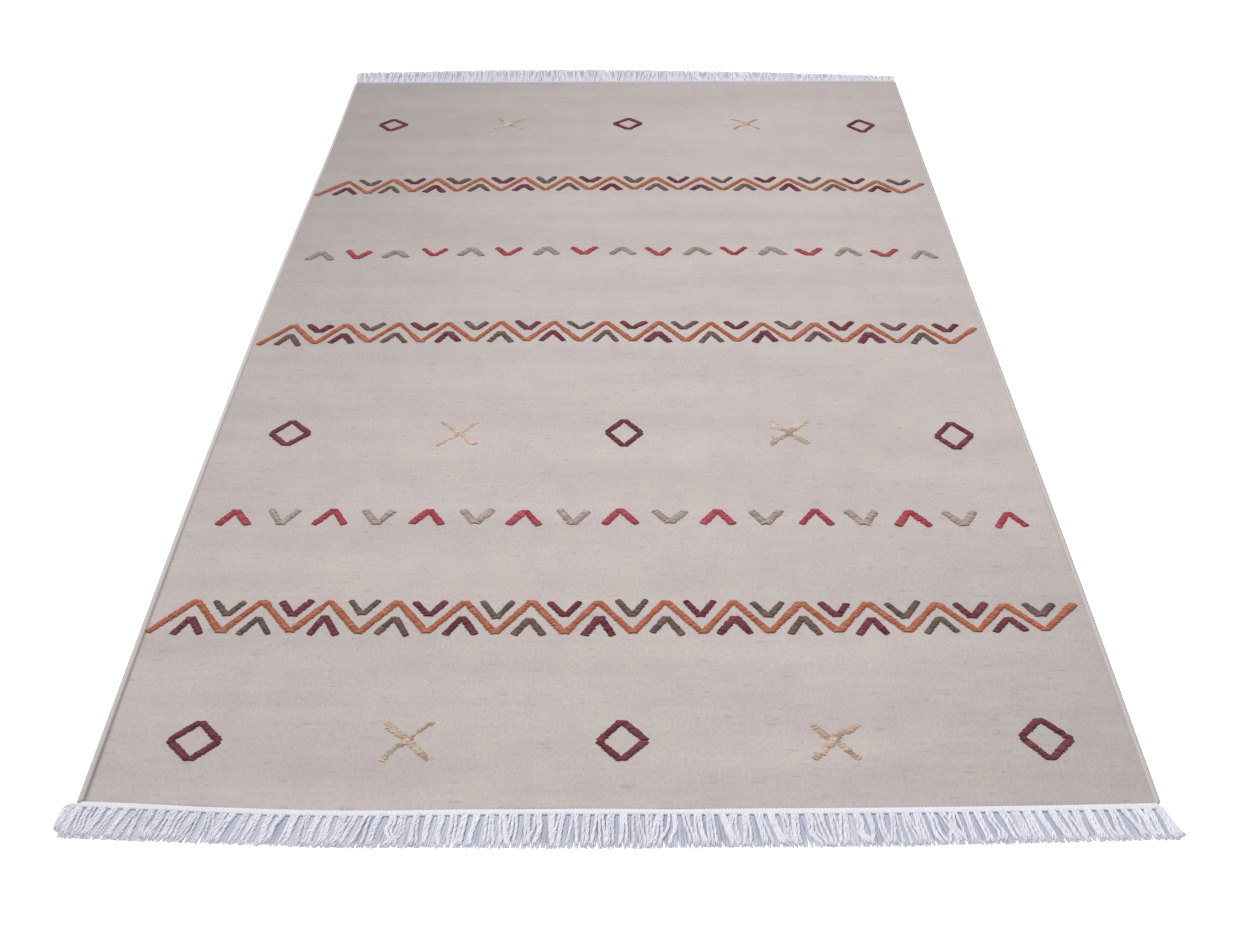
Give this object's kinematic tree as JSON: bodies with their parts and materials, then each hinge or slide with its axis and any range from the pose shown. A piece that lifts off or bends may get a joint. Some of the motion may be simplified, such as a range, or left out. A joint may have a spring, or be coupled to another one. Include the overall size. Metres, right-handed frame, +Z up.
{
  "type": "dhurrie rug",
  "caption": "Flat-woven wool floor rug, oblong, with a cord along each long edge and a white cotton fringe at both ends, laid flat.",
  "frame": {"origin": "middle of the rug's footprint, on its underside", "axes": "+Y along the rug's length towards its far end, +X across it to the right, +Z up off the floor"},
  "size_m": [1.2193, 1.914, 0.004],
  "materials": {
    "greige_wool": "flat woven wool, matt, with raised yarn motifs",
    "edge_cord": "overcast cotton cord, matt",
    "white_cotton": "plied white cotton strands, matt",
    "orange_yarn": "raised wool yarn stitches, matt",
    "maroon_yarn": "raised wool yarn stitches, matt",
    "olive_yarn": "raised wool yarn stitches, matt",
    "red_yarn": "raised wool yarn stitches, matt",
    "taupe_yarn": "raised wool yarn stitches, matt",
    "cream_yarn": "raised wool yarn stitches, matt"
  },
  "bodies": {
    "root": {"woven_field": "greige_wool", "edge_cord_left": "edge_cord", "edge_cord_right": "edge_cord", "fringe_near": "white_cotton", "fringe_far": "white_cotton"}
  },
  "joints": []
}
